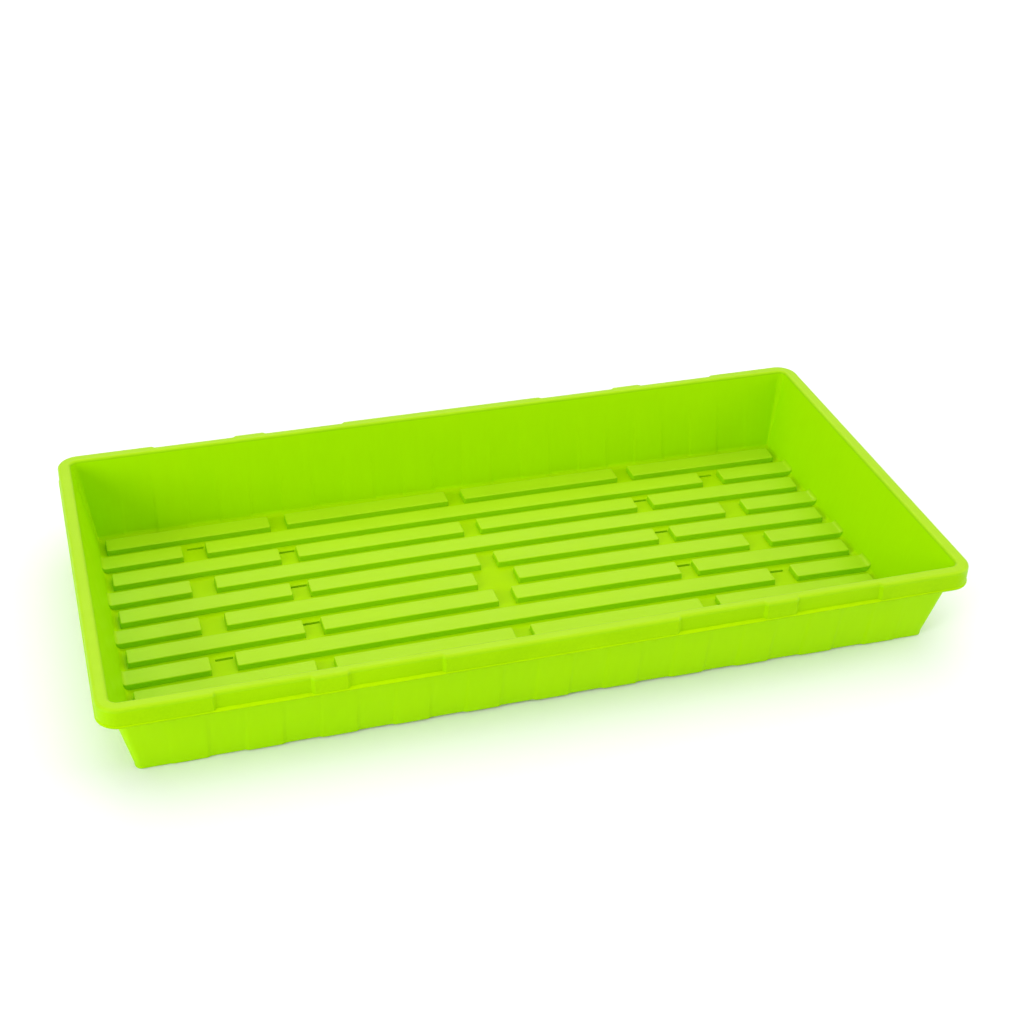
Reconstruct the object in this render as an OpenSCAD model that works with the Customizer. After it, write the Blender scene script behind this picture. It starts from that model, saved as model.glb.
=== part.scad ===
// Slatted 1020 nursery tray: one shallow rectangular moulding in lime-green polypropylene.
// The floor carries eleven rows of raised slats, with thin drain slots in some of the gaps.
// The long rolled rim has four shallow grip recesses on each long side.
// Origin: centre of the tray on the surface it stands on. +X runs along the tray, +Z is up.
// Every region of the moulding is a module of its own, and the regions meet face to face.

/* [Overall] */
// Overall length over the rim bead, mm
tray_l = 540; // [300:1:700]
// Overall width over the rim bead, mm
tray_w = 280; // [180:1:400]
// Overall height from the standing surface to the rim top, mm
tray_h = 60; // [40:1:120]

/* [Rim] */
// Outside corner radius of the rim, mm
rim_corner_r = 14; // [8:0.5:30]
// Thickness of the flat rim top, mm
rim_t = 2; // [1:0.1:4]
// Rounding of the rim's outer top edge, mm
rim_edge_r = 1.6; // [0.5:0.1:2]
// Length of the opening at the rim top, mm
opening_l = 523; // [280:1:690]
// Width of the opening at the rim top, mm
opening_w = 263; // [160:1:390]
// Height of the rim from its top to the bottom of the skirt, mm
skirt_h = 13; // [8:0.5:25]
// Thickness of the skirt, mm
skirt_t = 2; // [1:0.1:4]
// How far the bead stands out from the skirt, mm
bead_out = 0.5; // [0.2:0.1:2]
// Height of the bead, mm
bead_h = 1.4; // [0.8:0.1:4]

/* [Grip recesses] */
// Distance from the middle of a long side to its first recess, mm
recess_start = 72.5; // [40:0.5:120]
// Length of one recess, mm
recess_l = 55.7; // [20:0.1:80]
// Distance between the starts of two recesses on the same half, mm
recess_pitch = 76.5; // [30:0.5:110]
// Depth of a recess into the skirt, mm
recess_d = 1.7; // [0.5:0.1:3]

/* [Walls] */
// Inside length at the foot of the walls, mm
foot_l = 498.6; // [260:0.1:680]
// Inside width at the foot of the walls, mm
foot_w = 239.6; // [140:0.1:380]
// Wall thickness, mm
wall_t = 2; // [1:0.1:4]
// Height of the upright foot below the sloping wall, mm
foot_h = 2.8; // [2:0.1:8]
// Inside corner radius at the foot, mm
foot_r = 0.5; // [0.2:0.1:3]
// Outside corner radius at the foot, mm
foot_out_r = 5; // [2:0.5:10]
// Small chamfer along the outer bottom edge, mm
foot_chamfer = 0.6; // [0.2:0.1:1.5]
// Distance between two outward flutes along a long wall, mm
flute_pitch = 43.9; // [20:0.1:80]
// Depth from an outward flute to an inward one at the foot, mm
flute_d = 1; // [0.2:0.1:3]
// Height at which the flutes have faded out, mm
flute_top = 34; // [10:1:55]

/* [Floor] */
// Thickness of the floor, mm
floor_t = 1.8; // [1:0.1:4]
// How far the middle of the floor is domed above its ends, mm
crown_h = 3.5; // [0:0.1:8]
// Share of the dome that is lost between the middle and a long wall
crown_side = 0.72; // [0:0.01:1]

/* [Slats] */
// Number of slat rows across the tray
rows = 11; // [3:2:15]
// Distance between two rows, mm
row_pitch = 21.2; // [10:0.1:40]
// Width of a slat, mm
slat_w = 14.2; // [6:0.1:30]
// Height of a slat above the floor, mm
slat_h = 4.15; // [2:0.05:12]
// Thickness of a hollow slat's top and sides, mm
slat_t = 1.8; // [1:0.1:3]
// Middle of the side gaps in the odd rows, mm from the centre
odd_gap_x = 127.5; // [60:0.5:200]
// Width of the gaps in the odd rows, mm
odd_gap = 11.8; // [6:0.1:20]
// Outer end of the odd rows, mm from the centre
odd_end_x = 245; // [120:0.5:330]
// Middle of the side gaps in the even rows, mm from the centre
even_gap_x = 188.1; // [80:0.1:300]
// Width of the side gaps in the even rows, mm
even_gap = 16; // [6:0.1:30]
// Width of the gap in the middle of the centre row, mm
middle_gap = 28; // [8:0.5:60]

/* [Drain slots] */
// Length of a drain slot, mm
slot_l = 11.2; // [4:0.1:14]
// Width of a drain slot, mm
slot_w = 2.2; // [1:0.1:4]
// Distance from a row's middle back to its drain slots, mm
slot_back = 6.8; // [5:0.1:12]
// Middle of the drain slots in the even rows, mm from the centre
even_slot_x = 186.6; // [80:0.1:300]

/* [Colours] */
// Lime green of the floor and walls
lime = [0.61, 0.88, 0.00];
// Paler lime of the slats and rim, which take the light
pale_lime = [0.71, 0.91, 0.20];
// Deeper lime of the skirt
deep_lime = [0.60, 0.84, 0.00];

/* [Hidden] */
$fn = 64;
over = 5;
rim_under = tray_h - rim_t;
skirt_bottom = tray_h - skirt_h;
skirt_x = tray_l / 2 - bead_out;
skirt_y = tray_w / 2 - bead_out;
corner_x = tray_l / 2 - rim_corner_r;
corner_y = tray_w / 2 - rim_corner_r;
// the corner pieces start this far in from the inside face at the foot
corner_reach = 6;
cut_x = foot_l / 2 - corner_reach;
cut_y = foot_w / 2 - corner_reach;
rim_in_r = rim_corner_r - (tray_w - opening_w) / 2;
arc_steps = 10;
crown_step = 20;
middle_row = (rows + 1) / 2;
odd_gap_in = odd_gap_x - odd_gap / 2;
odd_gap_out = odd_gap_x + odd_gap / 2;
even_gap_in = even_gap_x - even_gap / 2;
even_gap_out = even_gap_x + even_gap / 2;
recess_starts = [recess_start, recess_start + recess_pitch];
// rows with drain slots at the back of their side gaps
odd_slot_rows = [3, 5, 7];
even_slot_rows = [2, 8];

// ---------- shared geometry ----------

function row_y(r) = (middle_row - r) * row_pitch;

// height of the domed underside above the standing surface
function crown(x, y) =
  crown_h * (1 - pow(2 * x / foot_l, 2)) * (1 - crown_side * pow(2 * y / foot_w, 2));

// half width inside the walls at height z, from the half width at the foot and at the rim
function inside_at(z, foot, opening) =
  foot + (opening - foot) * (z - foot_h) / (tray_h - foot_h);

function inside_x(z) = inside_at(z, foot_l / 2, opening_l / 2);
function inside_y(z) = inside_at(z, foot_w / 2, opening_w / 2);

// the stretches of one row that carry a slat, as [start, end] along X
function slat_spans(r) =
  r % 2 == 1 ? [
    [-odd_end_x, -odd_gap_out], [-odd_gap_in, -odd_gap / 2],
    [odd_gap / 2, odd_gap_in], [odd_gap_out, odd_end_x]
  ] : r == middle_row ? [
    [-foot_l / 2, -even_gap_out], [-even_gap_in, -middle_gap / 2],
    [middle_gap / 2, even_gap_in], [even_gap_out, foot_l / 2]
  ] : [
    [-foot_l / 2, -even_gap_out], [-even_gap_in, even_gap_in], [even_gap_out, foot_l / 2]
  ];

// points along a domed line from x0 to x1, at z above the dome
function dome_line(x0, x1, y, z) =
  let (steps = max(2, ceil((x1 - x0) / crown_step)))
  [for (i = [0:steps]) let (x = x0 + (x1 - x0) * i / steps) [x, z + crown(x, y)]];

function reverse(list) = [for (i = [len(list) - 1:-1:0]) list[i]];

module mirrored_x() {
  children();
  mirror([1, 0, 0]) children();
}

module four_corners() {
  mirrored_x() {
    children();
    mirror([0, 1, 0]) children();
  }
}

// extrudes a section drawn as [distance from the centre line, height] along X
module along_x(x0, x1, side) {
  mirror([0, side < 0 ? 1 : 0, 0])
    translate([x0, 0, 0])
      rotate([90, 0, 90])
        linear_extrude(height = x1 - x0)
          children();
}

// the same along Y, for the short sides
module along_y(y0, y1, side) {
  mirror([side < 0 ? 1 : 0, 0, 0])
    translate([0, y1, 0])
      rotate([90, 0, 0])
        linear_extrude(height = y1 - y0)
          children();
}

// extrudes a section drawn as [X, height] over a width centred on y
module across(y, width) {
  translate([0, y + width / 2, 0])
    rotate([90, 0, 0])
      linear_extrude(height = width)
        children();
}

// ---------- floor ----------

// lines that follow the dome inside the odd gaps, between the gaps and beyond the even gaps
inner_dome_x = [40, 67, 94];
between_dome_x = 157;
outer_dome_x = 220;
// grid lines: every slat end, and the lines between them
half_lines = concat(
  [odd_gap / 2, middle_gap / 2], inner_dome_x,
  [odd_gap_in, odd_gap_out, between_dome_x],
  [even_gap_in, even_gap_out, outer_dome_x, odd_end_x, foot_l / 2]
);
grid_x = concat(-reverse(half_lines), [0], half_lines);
grid_y = concat(
  [-foot_w / 2],
  [for (r = [rows:-1:1]) for (s = [-1, 1]) row_y(r) + s * slat_w / 2],
  [foot_w / 2]
);
nx = len(grid_x);
ny = len(grid_y);

function has_slat(x, y) =
  len([
    for (r = [1:rows])
      if (abs(y - row_y(r)) < slat_w / 2)
        for (s = slat_spans(r))
          if (x > s[0] && x < s[1]) 1
  ]) > 0;

// true where the floor is solid: inside the grid and not under a slat
function is_floor(i, j) =
  i >= 0 && j >= 0 && i < nx - 1 && j < ny - 1
  && !has_slat((grid_x[i] + grid_x[i + 1]) / 2, (grid_y[j] + grid_y[j + 1]) / 2);

function grid_points(z) =
  [for (j = [0:ny - 1]) for (i = [0:nx - 1])
    [grid_x[i], grid_y[j], z + crown(grid_x[i], grid_y[j])]];

function top_id(i, j) = j * nx + i;
function low_id(i, j) = nx * ny + top_id(i, j);

function side_face(i0, j0, i1, j1) =
  [top_id(i0, j0), top_id(i1, j1), low_id(i1, j1), low_id(i0, j0)];

module domed_floor() {
  cells = [for (j = [0:ny - 2]) for (i = [0:nx - 2]) if (is_floor(i, j)) [i, j]];
  polyhedron(
    points = concat(grid_points(floor_t), grid_points(0)),
    faces = [
      for (c = cells)
        let (i = c[0], j = c[1])
        each [
          [top_id(i, j), top_id(i, j + 1), top_id(i + 1, j + 1)],
          [top_id(i, j), top_id(i + 1, j + 1), top_id(i + 1, j)],
          [low_id(i, j), low_id(i + 1, j + 1), low_id(i, j + 1)],
          [low_id(i, j), low_id(i + 1, j), low_id(i + 1, j + 1)],
          if (!is_floor(i - 1, j)) side_face(i, j + 1, i, j),
          if (!is_floor(i + 1, j)) side_face(i + 1, j, i + 1, j + 1),
          if (!is_floor(i, j - 1)) side_face(i, j, i + 1, j),
          if (!is_floor(i, j + 1)) side_face(i + 1, j + 1, i, j + 1)
        ]
    ]
  );
}

module drain_slot(x, r) {
  translate([x - slot_l / 2, row_y(r) + slot_back - slot_w / 2, -over])
    cube([slot_l, slot_w, 4 * over]);
}

module floor_panel() {
  color(lime)
    difference() {
      domed_floor();
      mirrored_x() {
        for (r = odd_slot_rows) drain_slot(odd_gap_x, r);
        for (r = even_slot_rows) drain_slot(even_slot_x, r);
      }
    }
}

// ---------- slats ----------

// outline of a slat's side: an end that meets a wall follows that wall's slope
function slat_outline(x0, x1, y) =
  let (top = floor_t + slat_h)
  concat(
    dome_line(x0, x1, y, 0),
    x1 >= foot_l / 2 ? [[x1, foot_h], [inside_x(top), top]] : [],
    reverse(dome_line(x0, x1, y, top)),
    x0 <= -foot_l / 2 ? [[-inside_x(top), top], [x0, foot_h]] : []
  );

module slat(x0, x1, y) {
  difference() {
    across(y, slat_w)
      polygon(slat_outline(x0, x1, y));
    across(y, slat_w - 2 * slat_t)
      polygon(concat(
        [[x0 + slat_t, -over], [x1 - slat_t, -over]],
        reverse(dome_line(x0 + slat_t, x1 - slat_t, y, floor_t + slat_h - slat_t))
      ));
  }
}

module slat_row(r) {
  color(pale_lime)
    for (s = slat_spans(r))
      slat(s[0], s[1], row_y(r));
}

// ---------- walls ----------

// section of a wall as [distance from the centre line, height]; shift moves its fluted foot
module wall_section(foot, opening, shift) {
  at_flute = inside_at(flute_top, foot, opening);
  at_rim = inside_at(rim_under, foot, opening);
  outer = foot + shift + wall_t;
  polygon([
    [foot, 0],
    [foot, foot_h],
    [foot + shift, foot_h],
    [at_flute, flute_top],
    [at_rim, rim_under],
    [at_rim + wall_t, rim_under],
    [at_flute + wall_t, flute_top],
    [outer, foot_h],
    [outer, foot_chamfer],
    [outer - foot_chamfer, 0]
  ]);
}

// flutes run in whole bands, with a plain stretch beside each corner;
// the long wall's underside follows the edge of the domed floor
module long_wall(side) {
  half_band = flute_pitch / 2;
  bands = floor(cut_x / half_band - 0.5);
  plain_x = (bands + 0.5) * half_band;
  difference() {
    union() {
      for (i = [-bands:bands])
        along_x((i - 0.5) * half_band, (i + 0.5) * half_band, side)
          wall_section(foot_w / 2, opening_w / 2, (i % 2 == 0 ? 1 : -1) * flute_d / 2);
      mirrored_x()
        along_x(plain_x, cut_x, side)
          wall_section(foot_w / 2, opening_w / 2, 0);
    }
    across(side * foot_w / 2, 4 * over)
      polygon(concat(
        [[-foot_l / 2, -over], [foot_l / 2, -over]],
        reverse(dome_line(-foot_l / 2, foot_l / 2, foot_w / 2, 0))
      ));
  }
}

module short_wall(side) {
  along_y(-cut_y, cut_y, side)
    wall_section(foot_l / 2, opening_l / 2, 0);
}

// one corner's line at height z: the inside face set out by t, turned with radius r
function corner_line(z, t, r) =
  let (x = inside_x(max(z, foot_h)) + t - r, y = inside_y(max(z, foot_h)) + t - r)
  concat(
    [[cut_x, y + r, z]],
    [for (i = [0:arc_steps]) let (a = 90 - 90 * i / arc_steps) [x + r * cos(a), y + r * sin(a), z]],
    [[x + r, cut_y, z]]
  );

// the corner's section, carried round the turn as lines and joined into one closed shell
module wall_corner() {
  n = arc_steps + 3;
  lines = [
    corner_line(0, 0, foot_r),
    corner_line(foot_h, 0, foot_r),
    corner_line(rim_under, 0, rim_in_r),
    corner_line(rim_under, wall_t, rim_in_r + wall_t),
    corner_line(foot_h, wall_t, foot_out_r),
    corner_line(foot_chamfer, wall_t, foot_out_r),
    corner_line(0, wall_t - foot_chamfer, foot_out_r - foot_chamfer)
  ];
  count = len(lines);
  polyhedron(
    points = [for (l = lines) each l],
    faces = concat(
      [for (k = [0:count - 1]) for (i = [0:n - 2])
        let (a = k * n + i, b = ((k + 1) % count) * n + i)
        each [[a, b, b + 1], [a, b + 1, a + 1]]],
      [[for (k = [count - 1:-1:0]) k * n]],
      [[for (k = [0:count - 1]) (k + 1) * n - 1]]
    )
  );
}

module wall_front() { color(lime) long_wall(-1); }
module wall_back() { color(lime) long_wall(1); }
module wall_left() { color(lime) short_wall(-1); }
module wall_right() { color(lime) short_wall(1); }
module wall_corners() { color(lime) four_corners() wall_corner(); }

// ---------- rim top ----------

// section of the flat rim; datum is taken off every distance, for the turned corners
module rim_section(foot, opening, outer, datum) {
  polygon(concat(
    [[opening - datum, tray_h], [inside_at(rim_under, foot, opening) - datum, rim_under]],
    [[outer - datum, rim_under]],
    [for (a = [0:15:90])
      [outer - datum - rim_edge_r * (1 - cos(a)), tray_h - rim_edge_r * (1 - sin(a))]]
  ));
}

module grip_cuts(side) {
  for (x = recess_starts)
    mirrored_x()
      translate([x, side > 0 ? skirt_y - recess_d : -skirt_y - over + recess_d, rim_under - over])
        cube([recess_l, over, 3 * over]);
}

module long_rim(side) {
  difference() {
    along_x(-corner_x, corner_x, side)
      rim_section(foot_w / 2, opening_w / 2, skirt_y, 0);
    grip_cuts(side);
  }
}

module short_rim(side) {
  along_y(-corner_y, corner_y, side)
    rim_section(foot_l / 2, opening_l / 2, skirt_x, 0);
}

module rim_corner() {
  translate([corner_x, corner_y, 0])
    rotate_extrude(angle = 90)
      rim_section(foot_w / 2, opening_w / 2, skirt_y, corner_y);
}

module rim_front() { color(pale_lime) long_rim(-1); }
module rim_back() { color(pale_lime) long_rim(1); }
module rim_left() { color(pale_lime) short_rim(-1); }
module rim_right() { color(pale_lime) short_rim(1); }
module rim_corners() { color(pale_lime) four_corners() rim_corner(); }

// ---------- skirt ----------

// plan of a long skirt: plain runs, with the wall stepped in behind each recess
module long_skirt_plan() {
  difference() {
    union() {
      translate([-corner_x, skirt_y - skirt_t]) square([2 * corner_x, skirt_t]);
      for (x = recess_starts)
        mirrored_x()
          translate([x - skirt_t, skirt_y - skirt_t - recess_d])
            square([recess_l + 2 * skirt_t, skirt_t + recess_d]);
    }
    for (x = recess_starts)
      mirrored_x()
        translate([x, skirt_y - recess_d]) square([recess_l, over]);
  }
}

// plan of the bead, which fills the foot of each recess
module long_bead_plan() {
  translate([-corner_x, skirt_y - skirt_t]) square([2 * corner_x, skirt_t + bead_out]);
  for (x = recess_starts)
    mirrored_x()
      translate([x - skirt_t, skirt_y - skirt_t - recess_d])
        square([recess_l + 2 * skirt_t, skirt_t + recess_d + bead_out]);
}

module long_skirt(side) {
  mirror([0, side < 0 ? 1 : 0, 0]) {
    translate([0, 0, skirt_bottom + bead_h])
      linear_extrude(height = rim_under - skirt_bottom - bead_h)
        long_skirt_plan();
    translate([0, 0, skirt_bottom])
      linear_extrude(height = bead_h)
        long_bead_plan();
  }
}

module skirt_section(outer) {
  polygon([
    [outer - skirt_t, skirt_bottom],
    [outer + bead_out, skirt_bottom],
    [outer + bead_out, skirt_bottom + bead_h],
    [outer, skirt_bottom + bead_h],
    [outer, rim_under],
    [outer - skirt_t, rim_under]
  ]);
}

module short_skirt(side) {
  along_y(-corner_y, corner_y, side) skirt_section(skirt_x);
}

module skirt_corner() {
  translate([corner_x, corner_y, 0])
    rotate_extrude(angle = 90)
      skirt_section(skirt_y - corner_y);
}

module skirt_front() { color(deep_lime) long_skirt(-1); }
module skirt_back() { color(deep_lime) long_skirt(1); }
module skirt_left() { color(deep_lime) short_skirt(-1); }
module skirt_right() { color(deep_lime) short_skirt(1); }
module skirt_corners() { color(deep_lime) four_corners() skirt_corner(); }

floor_panel();
slat_row(1);  // slat_row_01
slat_row(2);  // slat_row_02
slat_row(3);  // slat_row_03
slat_row(4);  // slat_row_04
slat_row(5);  // slat_row_05
slat_row(6);  // slat_row_06
slat_row(7);  // slat_row_07
slat_row(8);  // slat_row_08
slat_row(9);  // slat_row_09
slat_row(10);  // slat_row_10
slat_row(11);  // slat_row_11
wall_front();
wall_back();
wall_left();
wall_right();
wall_corners();
rim_front();
rim_back();
rim_left();
rim_right();
rim_corners();
skirt_front();
skirt_back();
skirt_left();
skirt_right();
skirt_corners();
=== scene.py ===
"""Looks for the slatted nursery tray: one satin moulding in lime-green polypropylene.

Lengths are in millimetres, as in the CAD source. A mesh is scaled to metres as it is made.
"""

import math
from collections import namedtuple

import bmesh
import bpy
from mathutils import Matrix, Vector


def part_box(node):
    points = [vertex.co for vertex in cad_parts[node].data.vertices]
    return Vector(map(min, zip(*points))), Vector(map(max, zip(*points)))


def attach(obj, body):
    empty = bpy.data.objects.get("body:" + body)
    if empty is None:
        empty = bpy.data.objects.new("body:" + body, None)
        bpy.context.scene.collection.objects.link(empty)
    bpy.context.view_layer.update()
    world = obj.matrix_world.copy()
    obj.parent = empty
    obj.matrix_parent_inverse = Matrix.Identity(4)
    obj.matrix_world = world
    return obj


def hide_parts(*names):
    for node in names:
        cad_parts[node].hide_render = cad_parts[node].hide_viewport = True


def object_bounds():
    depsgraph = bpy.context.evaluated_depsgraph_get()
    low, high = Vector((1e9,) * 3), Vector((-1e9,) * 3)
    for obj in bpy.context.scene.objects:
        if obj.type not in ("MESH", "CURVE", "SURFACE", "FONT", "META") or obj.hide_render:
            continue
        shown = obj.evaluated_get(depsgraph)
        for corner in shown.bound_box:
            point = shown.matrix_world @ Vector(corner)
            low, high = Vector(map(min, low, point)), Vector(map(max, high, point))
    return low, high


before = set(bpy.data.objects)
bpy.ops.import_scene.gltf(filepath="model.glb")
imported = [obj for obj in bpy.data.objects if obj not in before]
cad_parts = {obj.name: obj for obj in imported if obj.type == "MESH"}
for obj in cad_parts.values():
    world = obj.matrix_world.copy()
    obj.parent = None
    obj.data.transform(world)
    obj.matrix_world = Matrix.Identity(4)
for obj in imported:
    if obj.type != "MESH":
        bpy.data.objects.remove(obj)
CAD_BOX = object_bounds()

MM = 0.001
QUARTER = math.pi / 2


# ---------- sizes ----------


def low_mm(node):
    """Lowest corner of a CAD node, in millimetres."""
    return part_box(node)[0] / MM


def high_mm(node):
    """Highest corner of a CAD node, in millimetres."""
    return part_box(node)[1] / MM


# walls and floor
WALL_T = 2.0
FLOOR_T = 1.8
FOOT_H = 2.8
FOOT_IN_R = 0.5
FOOT_OUT_R = 5.0
FOOT_ROUND = 1.5
COVE = 3.4
TOE_FLAT = 0.1
TOE_SINK = 0.3
FLUTE_TOP = 34.0
FLUTE_PITCH = 43.9
FLUTE_D = 1.0
FLUTE_FLANK = 3.0
CROWN_H = 3.5
CROWN_SIDE = 0.72

# rim and skirt
SKIRT_T = 2.0
BEAD_TOP = 48.5
BEAD_SLOPE = 0.15
BEAD_ROUND = 0.2
BEAD_FOOT_ROUND = 0.5
LEDGE_RISE = 0.24
LEDGE_FALL = 0.15
RIM_OUT_REACH = 2.6
RIM_OUT_DROP = 1.85
RIM_IN_REACH = 1.7
RIM_IN_DROP = 1.5
RECESS_STARTS = (72.5, 149.0)
RECESS_L = 55.7
RECESS_D = 1.7
RECESS_FLANK = 2.6
PLAIN_RUN = 1.0

# slats and drain slots
SLAT_H = 4.15
SLAT_T = 1.8
SLAT_EDGE = 0.8
SLAT_CORNER = 1.3
POCKET_CORNER = 0.2
SLAT_WALL_COVE = 2.4
SLAT_END_MARGIN = 3.4
SLAT_STEP = 20.0
ODD_GAP_X = 127.5
ODD_GAP = 11.8
EVEN_GAP_X = 188.1
EVEN_GAP = 16.0
MIDDLE_GAP = 28.0
ROWS = 11
MIDDLE_ROW = 6
SLOT_L = 11.2
SLOT_W = 2.2
SLOT_BACK = 6.8
ODD_SLOT_ROWS = (3, 5, 7)
EVEN_SLOT_ROWS = (2, 8)
EVEN_SLOT_X = 186.6
# extra grid lines of the floor, which keep its dome round between the openings
FLOOR_FILL_X = (40.0, 67.0, 94.0, 157.0, 220.0)

# mesh resolution
ARC_STEPS = 5
TURN_STEPS = 20
FLANK_STEPS = 6
WELD = 0.001
SHARP_ANGLE = math.radians(40)

TRAY_Z = CAD_BOX[1].z / MM
RIM_UNDER = low_mm("rim_front").z
SKIRT_BOTTOM = low_mm("skirt_front").z
FOOT_X, FOOT_Y = high_mm("floor_panel").xy
CUT_X = high_mm("wall_front").x
CUT_Y = high_mm("wall_right").y
HALF_BAND = FLUTE_PITCH / 2
LAST_BAND = math.floor(CUT_X / HALF_BAND - 0.5)
SLAT_TOP = FLOOR_T + SLAT_H

# what a section needs to know of its side: distances from the tray's middle, and the wall's slope
Side = namedtuple("Side", "foot slope face edge corner")


def side_of(foot, wall_out, face, edge, corner):
    """A side, from the distances of its inside foot, wall's outer top, skirt, bead and corner centre."""
    slope = (wall_out - WALL_T - foot) / (RIM_UNDER - FOOT_H)
    return Side(foot, slope, face, edge, corner)


LONG = side_of(
    FOOT_Y,
    high_mm("wall_back").y,
    high_mm("rim_corners").y,
    CAD_BOX[1].y / MM,
    high_mm("rim_right").y,
)
SHORT = side_of(
    FOOT_X,
    high_mm("wall_right").x,
    high_mm("rim_corners").x,
    CAD_BOX[1].x / MM,
    high_mm("rim_back").x,
)


# ---------- shared geometry ----------


def mix(a, b, share):
    """The value a share of the way from a to b."""
    return a + (b - a) * share


def ease(distance, width):
    """0 before a flank of that width centred on 0, 1 after it, and a smooth S between."""
    t = min(1.0, max(0.0, distance / width + 0.5))
    return t * t * (3 - 2 * t)


def crown(x, y):
    """Height of the domed underside above the standing surface."""
    along = 1 - (x / FOOT_X) ** 2
    across = 1 - CROWN_SIDE * (y / FOOT_Y) ** 2
    return CROWN_H * along * across


def inside(side, z):
    """Distance from the tray's middle to the inside face of a side's wall at height z."""
    return side.foot + side.slope * (z - FOOT_H)


def flute_level(band):
    """Outward shift of one flute band at the foot: out and in by turns, and none beside the corners."""
    if band > LAST_BAND:
        return 0.0
    return FLUTE_D / 2 if band % 2 == 0 else -FLUTE_D / 2


def flute(x):
    """Outward shift of a long wall's foot at x."""
    band = math.floor(abs(x) / HALF_BAND)
    past_flank = abs(x) - (band + 0.5) * HALF_BAND
    return mix(flute_level(band), flute_level(band + 1), ease(past_flank, FLUTE_FLANK))


def recess(x):
    """Depth of a long side's grip recess at x."""
    depth = 0.0
    for start in RECESS_STARTS:
        into = ease(abs(x) - start, RECESS_FLANK)
        out = ease(start + RECESS_L - abs(x), RECESS_FLANK)
        depth += RECESS_D * into * out
    return depth


def flank_stations(centres, width, end):
    """Stations along X that sample each flank on both halves, and the two ends."""
    stations = {-end, 0.0, end}
    for centre in centres:
        for k in range(FLANK_STEPS + 1):
            x = centre + width * (k / FLANK_STEPS - 0.5)
            stations.update((-x, x))
    return sorted(stations)


# ---------- sections: loops of (distance from the middle, height, plan corner radius) ----------


def toward(point, corner):
    """Step from a point to a corner, of length 1 in the section's plane."""
    step = Vector(corner[:3]) - point
    return step / step.xy.length


def outline(corners):
    """A closed loop through the corners. A corner with two reaches is turned as an arc that starts
    and ends those distances from it."""
    loop = []
    for i, corner in enumerate(corners):
        point = Vector(corner[:3])
        if len(corner) == 3:
            loop.append(point)
            continue
        back = toward(point, corners[i - 1]) * corner[3]
        ahead = toward(point, corners[(i + 1) % len(corners)]) * corner[4]
        for k in range(ARC_STEPS + 1):
            turn = QUARTER * k / ARC_STEPS
            loop.append(point + back * (1 - math.sin(turn)) + ahead * (1 - math.cos(turn)))
    return loop


def wall_loop(side, lift=0.0, shift=0.0):
    """Section of a wall whose bottom is lifted and whose fluted foot is shifted. A cove joins it to
    the floor."""
    floor = FLOOR_T + lift
    foot = side.foot + shift
    at_flute = inside(side, FLUTE_TOP)
    at_rim = inside(side, RIM_UNDER)
    inner_foot = inside(side, floor) + shift * (FLUTE_TOP - floor) / (FLUTE_TOP - FOOT_H)
    toe = inner_foot - COVE - TOE_FLAT
    rim_r = at_rim - side.corner
    flute_share = (FLUTE_TOP - FOOT_H) / (RIM_UNDER - FOOT_H)
    in_r = mix(FOOT_IN_R, rim_r, flute_share)
    out_r = mix(FOOT_OUT_R, rim_r + WALL_T, flute_share)
    return outline([
        (side.foot, lift, FOOT_IN_R),
        (foot + WALL_T, lift, FOOT_OUT_R, FOOT_ROUND, FOOT_ROUND),
        (foot + WALL_T, FOOT_H, FOOT_OUT_R),
        (at_flute + WALL_T, FLUTE_TOP, out_r),
        (at_rim + WALL_T, RIM_UNDER, rim_r + WALL_T),
        (at_rim, RIM_UNDER, rim_r),
        (at_flute, FLUTE_TOP, in_r),
        (inner_foot, floor, FOOT_IN_R, COVE, COVE),
        (toe, floor, FOOT_IN_R),
        (toe, floor - TOE_SINK, FOOT_IN_R),
        (side.foot, floor - TOE_SINK, FOOT_IN_R),
    ])


def rim_loop(side, depth=0.0):
    """Section of the flat rim, stepped in by a grip recess of that depth."""
    inner_low = inside(side, RIM_UNDER)
    inner_top = inside(side, TRAY_Z)
    face = side.face - depth
    return outline([
        (inner_low, RIM_UNDER, inner_low - side.corner),
        (face, RIM_UNDER, face - side.corner),
        (face, TRAY_Z, face - side.corner, RIM_OUT_DROP, RIM_OUT_REACH),
        (inner_top, TRAY_Z, inner_top - side.corner, RIM_IN_REACH, RIM_IN_DROP),
    ])


def skirt_loop(side, depth=0.0):
    """Section of the skirt and its bead. A recess leaves a sloping ledge on the bead."""
    face = side.face - depth
    inner = face - SKIRT_T
    ledge_in = BEAD_TOP + LEDGE_RISE * depth
    ledge_out = BEAD_TOP - BEAD_SLOPE - LEDGE_FALL * depth
    return outline([
        (inner, SKIRT_BOTTOM, inner - side.corner),
        (side.edge, SKIRT_BOTTOM, side.edge - side.corner, BEAD_FOOT_ROUND, BEAD_FOOT_ROUND),
        (side.edge, ledge_out, side.edge - side.corner, BEAD_ROUND, BEAD_ROUND),
        (face, ledge_in, face - side.corner, BEAD_ROUND, BEAD_ROUND),
        (face, RIM_UNDER, face - side.corner),
        (inner, RIM_UNDER, inner - side.corner),
    ])


# ---------- shells: columns of points that close into solids ----------


def long_columns(loop_at, stations, sign):
    """A section carried along X, on the back side for sign 1 or the front side for -1."""
    return [[(x, sign * p, z) for p, z, _ in loop_at(x)] for x in stations]


def short_columns(loop, end, sign):
    """A section carried along Y, on the right side for sign 1 or the left side for -1."""
    return [[(sign * p, y, z) for p, z, _ in loop] for y in (-end, 0.0, end)]


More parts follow.
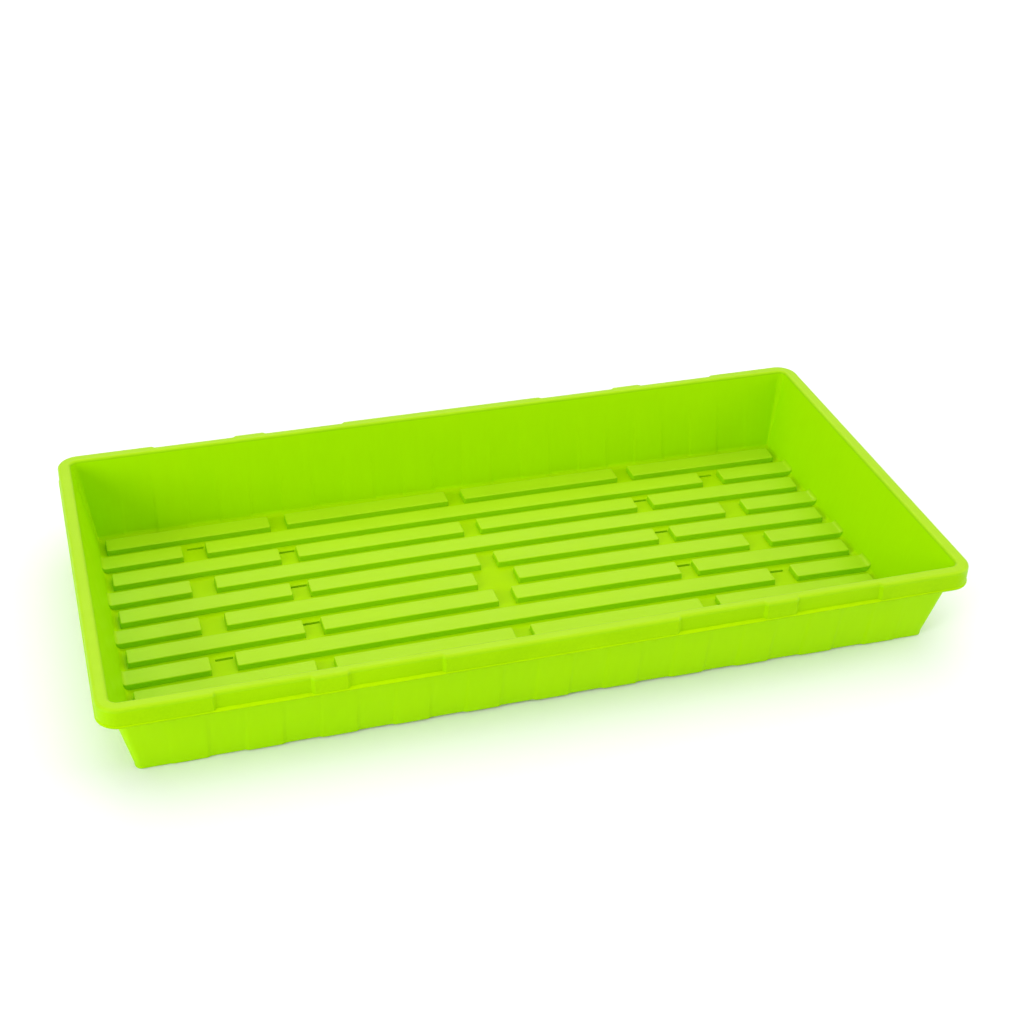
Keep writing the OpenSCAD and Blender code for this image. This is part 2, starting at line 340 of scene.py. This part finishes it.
def turned(long_point, short_point, share):
    """The point a share of the way round a corner, from the long side's section to the short side's."""
    y, z_long, r_long = long_point
    x, z_short, r_short = short_point
    angle = QUARTER * (1 - share)
    r = mix(r_long, r_short, share)
    return (x - r + r * math.cos(angle), y - r + r * math.sin(angle), mix(z_long, z_short, share))


def corner_columns(long_loop, short_loop, start_x, end_y):
    """One corner: a plain start along the long side, the turn, and a plain end along the short side."""
    columns = [[(start_x, y, z) for y, z, _ in long_loop]]
    for k in range(TURN_STEPS + 1):
        share = k / TURN_STEPS
        columns.append([turned(a, b, share) for a, b in zip(long_loop, short_loop)])
    columns.append([(x, end_y, z) for x, z, _ in short_loop])
    return columns


def four_corners(columns):
    """The corner's columns and their mirror images at the other three corners."""
    return [
        [[(sx * x, sy * y, z) for x, y, z in column] for column in columns]
        for sx in (-1, 1)
        for sy in (-1, 1)
    ]


def add_shell(bm, columns):
    """Adds a closed solid through columns of points, capped at its first and last column."""
    lines = [[bm.verts.new(point) for point in column] for column in columns]
    for left, right in zip(lines, lines[1:]):
        for k in range(len(left)):
            bm.faces.new((left[k - 1], left[k], right[k], right[k - 1]))
    bm.faces.new(lines[0])
    bm.faces.new(lines[-1])


def swept_mesh(shells):
    """A bmesh of closed solids, each given as columns of points."""
    bm = bmesh.new()
    for columns in shells:
        add_shell(bm, columns)
    return bm


# ---------- slats ----------


def slat_spans(row):
    """The stretches of a row that carry a slat, as (start, end) along X. A row that meets the end
    walls ends at the foot of those walls."""
    if row % 2:
        outer = high_mm(row_node(row)).x
        gap_in, gap_out = ODD_GAP_X - ODD_GAP / 2, ODD_GAP_X + ODD_GAP / 2
        half = [(ODD_GAP / 2, gap_in), (gap_out, outer)]
    else:
        gap_in, gap_out = EVEN_GAP_X - EVEN_GAP / 2, EVEN_GAP_X + EVEN_GAP / 2
        start = MIDDLE_GAP / 2 if row == MIDDLE_ROW else 0.0
        half = [(start, gap_in), (gap_out, FOOT_X)]
    if half[0][0] == 0.0:
        middle = half.pop(0)[1]
        return [(-middle, middle)] + both_ways(half)
    return both_ways(half)


def both_ways(spans):
    """Spans and their mirror images."""
    return [span for a, b in spans for span in ((a, b), (-b, -a))]


def row_node(row):
    """Name of a row's CAD node."""
    return f"slat_row_{row:02d}"


def slat_levels():
    """Levels of a slat's skin, from the top edge down and then up the pocket inside, as (growth of
    the outline, height above the dome, share of the rise beside an end wall)."""
    levels = []
    for k in range(ARC_STEPS + 1):
        turn = QUARTER * k / ARC_STEPS
        inset = SLAT_EDGE * (1 - math.sin(turn))
        drop = SLAT_EDGE * (1 - math.cos(turn))
        levels.append((-inset, SLAT_TOP - drop, 1.0))
    levels += [
        (0.0, FLOOR_T, 0.0),
        (0.0, 0.0, 0.0),
        (-SLAT_T, 0.0, 0.0),
        (-SLAT_T, SLAT_TOP - SLAT_T, 0.0),
    ]
    return levels


def free_end(tip, sign, half, growth):
    """Columns of a rounded slat end, from its tip inwards, as (x, half width, rise)."""
    r = max(SLAT_CORNER + growth, POCKET_CORNER)
    columns = []
    for k in range(ARC_STEPS + 1):
        turn = QUARTER * k / ARC_STEPS
        x = tip + sign * (growth - r * (1 - math.cos(turn)))
        columns.append((x, half + growth - r * (1 - math.sin(turn)), 0.0))
    return columns


def wall_end(sign, half, growth, height):
    """Columns of a slat end that runs into an end wall, from inside the wall inwards. The top rises
    in a cove."""
    at_wall = inside(SHORT, SLAT_TOP)
    lean = math.atan(SHORT.slope)
    limit = at_wall + WALL_T / 2
    if growth <= -SLAT_T:
        limit = FOOT_X - SLAT_T
    elif height < FLOOR_T:
        limit = FOOT_X
    columns = [(limit, SLAT_WALL_COVE * math.cos(lean))]
    for k in range(ARC_STEPS, -1, -1):
        turn = QUARTER * k / ARC_STEPS
        along = SLAT_WALL_COVE * (1 - math.cos(turn))
        x = at_wall - SLAT_WALL_COVE * (1 - math.sin(turn)) + along * math.sin(lean)
        columns.append((min(x, limit), along * math.cos(lean)))
    return [(sign * x, half + growth, rise) for x, rise in columns]


def slat_end(tip, sign, half, growth, height):
    """Columns of one end of a slat, from its tip inwards."""
    if abs(tip) >= FOOT_X - WELD:
        return wall_end(sign, half, growth, height)
    return free_end(tip, sign, half, growth)


def slat_level(x0, x1, y, half, level):
    """Front and back points of a slat at one level, from left to right."""
    growth, height, rise_share = level
    inner_x0, inner_x1 = x0 + SLAT_END_MARGIN, x1 - SLAT_END_MARGIN
    steps = math.ceil((inner_x1 - inner_x0) / SLAT_STEP)
    middle = [(mix(inner_x0, inner_x1, k / steps), half + growth, 0.0) for k in range(steps + 1)]
    left = slat_end(x0, -1, half, growth, height)
    right = slat_end(x1, 1, half, growth, height)
    columns = left + middle + right[::-1]
    return [
        [(x, y + s * h, crown(x, y + s * h) + height + rise_share * rise) for x, h, rise in columns]
        for s in (-1, 1)
    ]


def add_strip(bm, front, back):
    """Closes the ring between a front line and a back line with quads."""
    for k in range(len(front) - 1):
        bm.faces.new((front[k], front[k + 1], back[k + 1], back[k]))


def add_slat(bm, x0, x1, y, half):
    """Adds one hollow slat, open from below."""
    rings = []
    for level in slat_levels():
        front, back = ([bm.verts.new(p) for p in line] for line in slat_level(x0, x1, y, half, level))
        rings.append((front, back))
    for (front_a, back_a), (front_b, back_b) in zip(rings, rings[1:]):
        ring_a = front_a + back_a[::-1]
        ring_b = front_b + back_b[::-1]
        for k in range(len(ring_a)):
            bm.faces.new((ring_a[k - 1], ring_a[k], ring_b[k], ring_b[k - 1]))
    add_strip(bm, *rings[0])
    add_strip(bm, *rings[-1])


def row_place(row):
    """Middle and half width of a row, along Y."""
    low, high = low_mm(row_node(row)).y, high_mm(row_node(row)).y
    return (low + high) / 2, (high - low) / 2


def slat_row_mesh(row):
    """All slats of a row."""
    bm = bmesh.new()
    y, half = row_place(row)
    for x0, x1 in slat_spans(row):
        add_slat(bm, x0, x1, y, half)
    return bm


# ---------- floor ----------


def slot_boxes():
    """The drain slots, as (x0, x1, y0, y1)."""
    boxes = []
    for rows, x in ((ODD_SLOT_ROWS, ODD_GAP_X), (EVEN_SLOT_ROWS, EVEN_SLOT_X)):
        for row in rows:
            y = row_place(row)[0] + SLOT_BACK
            boxes += [(-x, y), (x, y)]
    return [(x - SLOT_L / 2, x + SLOT_L / 2, y - SLOT_W / 2, y + SLOT_W / 2) for x, y in boxes]


def slat_boxes():
    """The places that slats take in the floor, as (x0, x1, y0, y1)."""
    boxes = []
    for row in range(1, ROWS + 1):
        y, half = row_place(row)
        boxes += [(x0, x1, y - half, y + half) for x0, x1 in slat_spans(row)]
    return boxes


def grid_lines(values):
    """Sorted values with near repeats left out."""
    lines = []
    for value in sorted(values):
        if not lines or value - lines[-1] > WELD:
            lines.append(value)
    return lines


def floor_mesh():
    """The domed floor sheet, with a window under each slat and a hole at each drain slot."""
    openings = slat_boxes() + slot_boxes()
    fill_x = [s * x for x in FLOOR_FILL_X for s in (-1, 1)]
    xs = grid_lines([x for box in openings for x in box[:2]] + fill_x)
    ys = grid_lines([y for box in openings for y in box[2:]] + [-FOOT_Y, FOOT_Y])
    bm = bmesh.new()
    points = {}

    def vert(i, j, top):
        if (i, j, top) not in points:
            z = crown(xs[i], ys[j]) + (FLOOR_T if top else 0.0)
            points[i, j, top] = bm.verts.new((xs[i], ys[j], z))
        return points[i, j, top]

    def solid(i, j):
        if not (0 <= i < len(xs) - 1 and 0 <= j < len(ys) - 1):
            return False
        x, y = (xs[i] + xs[i + 1]) / 2, (ys[j] + ys[j + 1]) / 2
        return not any(x0 < x < x1 and y0 < y < y1 for x0, x1, y0, y1 in openings)

    def side(a, b):
        bm.faces.new((vert(*a, True), vert(*b, True), vert(*b, False), vert(*a, False)))

    for i in range(len(xs) - 1):
        for j in range(len(ys) - 1):
            if not solid(i, j):
                continue
            cell = ((i, j), (i + 1, j), (i + 1, j + 1), (i, j + 1))
            for top in (True, False):
                bm.faces.new([vert(*c, top) for c in cell])
            for k, (di, dj) in enumerate(((0, -1), (1, 0), (0, 1), (-1, 0))):
                if not solid(i + di, j + dj):
                    side(cell[k], cell[(k + 1) % 4])
    return bm


# ---------- materials ----------

# a mottle has noise features per metre, noise detail, its largest share, and its lightness and red shift
Mottle = namedtuple("Mottle", "scale detail share light red")
CLOUDS = Mottle(scale=26.0, detail=3.0, share=0.14, light=1.25, red=0.04)
FLECKS = Mottle(scale=900.0, detail=2.0, share=0.12, light=1.12, red=0.06)
FLOW = Mottle(scale=1.0, detail=3.0, share=0.08, light=0.8, red=-0.03)

# a relief has noise features per metre, noise detail, strength, and depth in metres
Relief = namedtuple("Relief", "scale detail strength depth")
SINK_MARKS = Relief(scale=22.0, detail=1.0, strength=0.25, depth=0.0006)
DRAW_LINES = Relief(scale=1.0, detail=2.0, strength=0.1, depth=0.00008)
GRAIN = Relief(scale=1500.0, detail=2.0, strength=0.25, depth=0.00006)

# most of a noise lies between these values
NOISE_LOW = 0.3
NOISE_HIGH = 0.7
# painted light and shade: a face gets its upright colour below the first size of its normal's Z, and its
# level colour above the second
UPRIGHT_Z = 0.4
LEVEL_Z = 0.9
GLOSS_SCALE = 48.0
GLOSS_DETAIL = 4.0
GLOSS_VARIES = 0.05
POLYPROPYLENE_IOR = 1.49
GREEN_GLINT = (0.62, 0.95, 0.12, 1.0)
# streaks per metre along X, Y and Z
DRAWN_UP = (320.0, 320.0, 9.0)
DRAWN_ALONG = (12.0, 260.0, 260.0)


def add_node(tree, kind, **inputs):
    """A shader node with the given input values, links or constants."""
    node = tree.nodes.new(kind)
    for name, value in inputs.items():
        socket = node.inputs[name.replace("_", " ")]
        if isinstance(value, bpy.types.NodeSocket):
            tree.links.new(value, socket)
        else:
            socket.default_value = value
    return node


def noise(tree, coords, scale, detail=2.0, stretch=None):
    """A noise value, mostly between NOISE_LOW and NOISE_HIGH, with features of 1/scale metres. A
    stretch gives each axis a scale of its own."""
    if stretch:
        mapping = add_node(tree, "ShaderNodeMapping", Vector=coords, Scale=stretch)
        coords = mapping.outputs["Vector"]
    node = add_node(tree, "ShaderNodeTexNoise", Vector=coords, Scale=scale, Detail=detail)
    return node.outputs["Fac"]


def map_range(tree, value, from_min, from_max, to_min, to_max):
    """A value mapped from one range to another, and held at its ends."""
    node = add_node(tree, "ShaderNodeMapRange", Value=value)
    node.inputs["From Min"].default_value = from_min
    node.inputs["From Max"].default_value = from_max
    node.inputs["To Min"].default_value = to_min
    node.inputs["To Max"].default_value = to_max
    return node.outputs["Result"]


def spread(tree, value, low, high):
    """A noise value mapped to a range."""
    return map_range(tree, value, NOISE_LOW, NOISE_HIGH, low, high)


def blend_colour(tree, share, a, b):
    """A colour mixed between a and b."""
    node = tree.nodes.new("ShaderNodeMix")
    node.data_type = "RGBA"
    tree.links.new(share, node.inputs["Factor"])
    for socket, value in zip([s for s in node.inputs if s.type == "RGBA"], (a, b)):
        if isinstance(value, bpy.types.NodeSocket):
            tree.links.new(value, socket)
        else:
            socket.default_value = value
    return next(s for s in node.outputs if s.type == "RGBA")


def shade(colour, factor, shift=0.0):
    """A colour made lighter or darker, with its red shifted against its green."""
    r, g, b = colour
    return (r * factor * (1 + shift), g * factor, b * factor, 1.0)


def painted_light_mask(tree):
    """Mask of painted light and shade: 1 where a surface faces up or down, 0 where it stands upright."""
    normal = tree.nodes.new("ShaderNodeNewGeometry").outputs["True Normal"]
    height = add_node(tree, "ShaderNodeSeparateXYZ", Vector=normal).outputs["Z"]
    size = tree.nodes.new("ShaderNodeMath")
    size.operation = "ABSOLUTE"
    tree.links.new(height, size.inputs[0])
    return map_range(tree, size.outputs[0], UPRIGHT_Z, LEVEL_Z, 0.0, 1.0)


def mottled(tree, coords, body, mottle, colour, stretch=None):
    """The body colour with patches of a lighter or darker colour."""
    patches = noise(tree, coords, mottle.scale, mottle.detail, stretch)
    share = spread(tree, patches, 0.0, mottle.share)
    return blend_colour(tree, share, body, shade(colour, mottle.light, mottle.red))


def bumped(tree, coords, relief, stretch=None, under=None):
    """A surface normal with a noise relief, on top of the relief under it."""
    node = add_node(
        tree, "ShaderNodeBump",
        Height=noise(tree, coords, relief.scale, relief.detail, stretch),
        Strength=relief.strength, Distance=relief.depth,
    )
    if under is not None:
        tree.links.new(under, node.inputs["Normal"])
    return node.outputs["Normal"]


def satin_plastic(name, top, side, roughness, shine, streaks):
    """Moulded satin polypropylene, with painted light and shade: one colour on level faces and another on
    upright ones. Then mottling, faint flow streaks, fine grain and gentle sink marks."""
    material = bpy.data.materials.new(name)
    material.use_nodes = True
    tree = material.node_tree
    shader = tree.nodes["Principled BSDF"]
    coords = tree.nodes.new("ShaderNodeTexCoord").outputs["Object"]

    # painted light and shade: level and upright faces get the two colours given, as the light falls on
    # them
    body = blend_colour(tree, painted_light_mask(tree), shade(side, 1.0), shade(top, 1.0))
    body = mottled(tree, coords, body, CLOUDS, top)
    body = mottled(tree, coords, body, FLECKS, top)
    body = mottled(tree, coords, body, FLOW, side, streaks)
    tree.links.new(body, shader.inputs["Base Color"])

    patches = noise(tree, coords, GLOSS_SCALE, GLOSS_DETAIL)
    gloss = spread(tree, patches, roughness - GLOSS_VARIES, roughness + GLOSS_VARIES)
    tree.links.new(gloss, shader.inputs["Roughness"])
    shader.inputs["IOR"].default_value = POLYPROPYLENE_IOR
    shader.inputs["Specular IOR Level"].default_value = shine
    shader.inputs["Specular Tint"].default_value = GREEN_GLINT

    sunken = bumped(tree, coords, SINK_MARKS)
    drawn = bumped(tree, coords, DRAW_LINES, streaks, under=sunken)
    grained = bumped(tree, coords, GRAIN, under=drawn)
    tree.links.new(grained, shader.inputs["Normal"])
    return material


# three copies of the one moulding; the colours that set them apart, and their level and upright colours,
# are painted light and shade
MATERIALS = {
    "floor_and_walls": satin_plastic(
        "lime_floor_and_walls",
        # painted shade on the level floor and painted light on the upright walls
        top=(0.36, 0.63, 0.0), side=(0.375, 0.745, 0.0),
        roughness=0.45, shine=0.06, streaks=DRAWN_UP,
    ),
    "slats_and_rim": satin_plastic(
        "lime_slats_and_rim",
        # painted light on level tops and painted shade on upright slat sides
        top=(0.375, 0.635, 0.006), side=(0.3, 0.625, 0.0),
        roughness=0.4, shine=0.45, streaks=DRAWN_ALONG,
    ),
    "skirt": satin_plastic(
        "lime_skirt",
        # painted light on level faces and painted shade on upright faces
        top=(0.46, 0.75, 0.0), side=(0.3, 0.615, 0.0),
        roughness=0.45, shine=0.06, streaks=DRAWN_ALONG,
    ),
}


# ---------- pieces ----------


def make_piece(node, slot, bm):
    """Turns a bmesh into the shown piece that stands for a CAD node."""
    name = f"{node}_moulded"
    bmesh.ops.remove_doubles(bm, verts=bm.verts, dist=WELD)
    bmesh.ops.recalc_face_normals(bm, faces=bm.faces)
    bmesh.ops.scale(bm, vec=(MM, MM, MM), verts=bm.verts)
    mesh = bpy.data.meshes.new(name)
    bm.to_mesh(mesh)
    bm.free()
    mesh.shade_smooth()
    mesh.set_sharp_from_angle(angle=SHARP_ANGLE)
    mesh.materials.append(MATERIALS[slot])
    piece = bpy.data.objects.new(name, mesh)
    bpy.context.scene.collection.objects.link(piece)
    weights = piece.modifiers.new("face_weights", "WEIGHTED_NORMAL")
    weights.keep_sharp = True
    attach(piece, "root")
    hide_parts(node)
    return piece


def make_walls():
    """The four walls, and the corners between them."""
    flanks = [(band + 0.5) * HALF_BAND for band in range(LAST_BAND + 1)]
    stations = flank_stations(flanks, FLUTE_FLANK, CUT_X)

    def long_wall(x):
        return wall_loop(LONG, crown(x, FOOT_Y), flute(x))

    for node, sign in (("wall_front", -1), ("wall_back", 1)):
        make_piece(node, "floor_and_walls", swept_mesh([long_columns(long_wall, stations, sign)]))
    for node, sign in (("wall_left", -1), ("wall_right", 1)):
        make_piece(node, "floor_and_walls", swept_mesh([short_columns(wall_loop(SHORT), CUT_Y, sign)]))
    corner = corner_columns(long_wall(CUT_X), wall_loop(SHORT), CUT_X, CUT_Y)
    make_piece("wall_corners", "floor_and_walls", swept_mesh(four_corners(corner)))


def make_border(name, slot, loop):
    """The four sides and the corners of the rim or the skirt."""
    edges = [start + length for start in RECESS_STARTS for length in (0.0, RECESS_L)]
    end_x, end_y = SHORT.corner - PLAIN_RUN, LONG.corner - PLAIN_RUN
    stations = flank_stations(edges, RECESS_FLANK, end_x)

    def long_loop(x):
        return loop(LONG, recess(x))

    for side, sign in (("front", -1), ("back", 1)):
        make_piece(f"{name}_{side}", slot, swept_mesh([long_columns(long_loop, stations, sign)]))
    for side, sign in (("left", -1), ("right", 1)):
        make_piece(f"{name}_{side}", slot, swept_mesh([short_columns(loop(SHORT), end_y, sign)]))
    corner = corner_columns(loop(LONG), loop(SHORT), end_x, end_y)
    make_piece(f"{name}_corners", slot, swept_mesh(four_corners(corner)))


make_piece("floor_panel", "floor_and_walls", floor_mesh())
for slat_row in range(1, ROWS + 1):
    make_piece(row_node(slat_row), "slats_and_rim", slat_row_mesh(slat_row))
make_walls()
make_border("rim", "slats_and_rim", rim_loop)
make_border("skirt", "skirt", skirt_loop)


# ---------- stage, light and camera ----------


def make_floor():
    """A plain pale floor, with a barely visible mottle."""
    bm = bmesh.new()
    bmesh.ops.create_grid(bm, x_segments=1, y_segments=1, size=FLOOR_HALF)
    mesh = bpy.data.meshes.new("pale_floor")
    bm.to_mesh(mesh)
    bm.free()
    material = bpy.data.materials.new("pale_floor")
    material.use_nodes = True
    tree = material.node_tree
    shader = tree.nodes["Principled BSDF"]
    coords = tree.nodes.new("ShaderNodeTexCoord").outputs["Object"]
    cloud = spread(tree, noise(tree, coords, FLOOR_MOTTLE_SCALE), 0.0, 1.0)
    pale = blend_colour(tree, cloud, FLOOR_PALE, FLOOR_PALER)
    tree.links.new(pale, shader.inputs["Base Color"])
    shader.inputs["Roughness"].default_value = FLOOR_ROUGHNESS
    shader.inputs["Specular IOR Level"].default_value = FLOOR_SHINE
    mesh.materials.append(material)
    floor = bpy.data.objects.new("pale_floor", mesh)
    bpy.context.scene.collection.objects.link(floor)


def make_light(name, place, target, size, power):
    """A soft square area light of a size in metres and a power in watts, that faces a target."""
    data = bpy.data.lights.new(name, "AREA")
    data.size = size
    data.energy = power
    light = bpy.data.objects.new(name, data)
    bpy.context.scene.collection.objects.link(light)
    light.location = place
    light.rotation_euler = (Vector(target) - light.location).to_track_quat("-Z", "Y").to_euler()


def make_world(overhead, horizon):
    """A white surround, brighter round the horizon than overhead."""
    world = bpy.data.worlds.new("white_surround")
    world.use_nodes = True
    tree = world.node_tree
    direction = tree.nodes.new("ShaderNodeTexCoord").outputs["Generated"]
    height = add_node(tree, "ShaderNodeSeparateXYZ", Vector=direction).outputs["Z"]
    level = map_range(tree, height, HORIZON_Z, OVERHEAD_Z, horizon, overhead)
    background = tree.nodes["Background"]
    background.inputs["Color"].default_value = WHITE
    tree.links.new(level, background.inputs["Strength"])
    bpy.context.scene.world = world


def make_camera():
    """A camera at the viewing angle of a person who stands a little to the left of the tray."""
    data = bpy.data.cameras.new("view")
    data.lens = LENS
    data.sensor_width = SENSOR
    data.shift_x = SHIFT_X
    camera = bpy.data.objects.new("view", data)
    bpy.context.scene.collection.objects.link(camera)
    turn = (
        Matrix.Rotation(-AZIMUTH, 4, "Z")
        @ Matrix.Rotation(QUARTER - ELEVATION, 4, "X")
        @ Matrix.Rotation(ROLL, 4, "Z")
    )
    back = turn.to_3x3() @ Vector((0.0, 0.0, DISTANCE))
    camera.matrix_world = Matrix.Translation(AIM + back) @ turn
    bpy.context.scene.camera = camera


# the stage, in metres
FLOOR_HALF = 2.2
FLOOR_MOTTLE_SCALE = 3.0
FLOOR_PALE = (0.93, 0.93, 0.93, 1.0)
FLOOR_PALER = (0.95, 0.95, 0.95, 1.0)
FLOOR_ROUGHNESS = 0.8
FLOOR_SHINE = 0.1
WHITE = (1.0, 1.0, 1.0, 1.0)
# the surround turns from its horizon level to its overhead level between these heights of a unit direction
HORIZON_Z = 0.08
OVERHEAD_Z = 0.3
TRAY_MIDDLE = (0.0, 0.0, 0.0)

# the camera, with distances in metres and its lens and sensor in millimetres
AZIMUTH = math.radians(16.875)
ELEVATION = math.radians(32.958)
ROLL = math.radians(1.208)
DISTANCE = 1.18503
AIM = Vector((0.01283, 0.05954, 0.02))
LENS = 60.383
SENSOR = 36.0
SHIFT_X = 0.02184

make_floor()
make_world(overhead=0.38, horizon=1.0)
make_light("overhead", place=(0.2, 0.6, 3.0), target=(0.2, 0.6, 0.0), size=5.0, power=84.0)
make_light("key_left", place=(-1.9, -1.0, 0.95), target=TRAY_MIDDLE, size=1.1, power=24.0)
make_light("fill_right", place=(1.9, -0.4, 0.9), target=TRAY_MIDDLE, size=1.2, power=12.0)
make_light("fill_front", place=(0.3, -2.1, 0.8), target=TRAY_MIDDLE, size=1.6, power=3.0)
make_light("floor_behind", place=(0.4, 2.6, 2.2), target=(0.4, 2.6, 0.0), size=2.4, power=24.0)
make_camera()
bpy.context.scene.view_settings.view_transform = "Standard"
